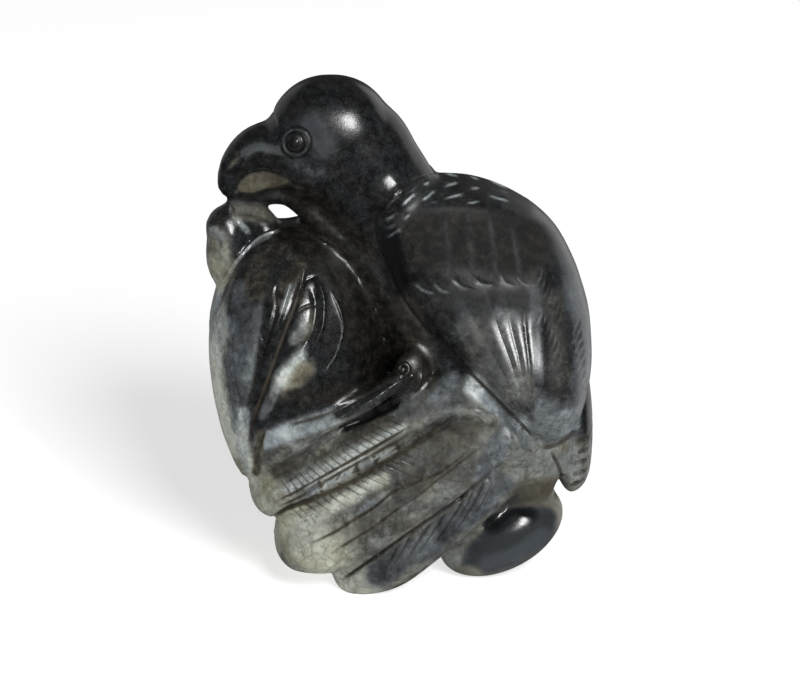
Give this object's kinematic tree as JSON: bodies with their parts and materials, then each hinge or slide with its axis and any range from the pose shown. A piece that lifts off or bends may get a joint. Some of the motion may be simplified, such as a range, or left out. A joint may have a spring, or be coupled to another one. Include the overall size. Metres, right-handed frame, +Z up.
{
  "type": "parrot carving",
  "caption": "Carved stone parrot curled round a leafy peach, a fruiting twig in its beak and its broad tail feathers folded forward beneath it.",
  "frame": {"origin": "middle of the bounding box's lowest face, on the plane the carving stands on", "axes": "+Z up, +X from the beak towards the back, +Y from the near wing towards the far wing"},
  "size_m": [0.0484, 0.0292, 0.0653],
  "materials": {
    "jade": "polished black, grey and grey-green jade, matt in the recesses"
  },
  "bodies": {
    "root": {"parrot_carving": "jade"}
  },
  "joints": []
}
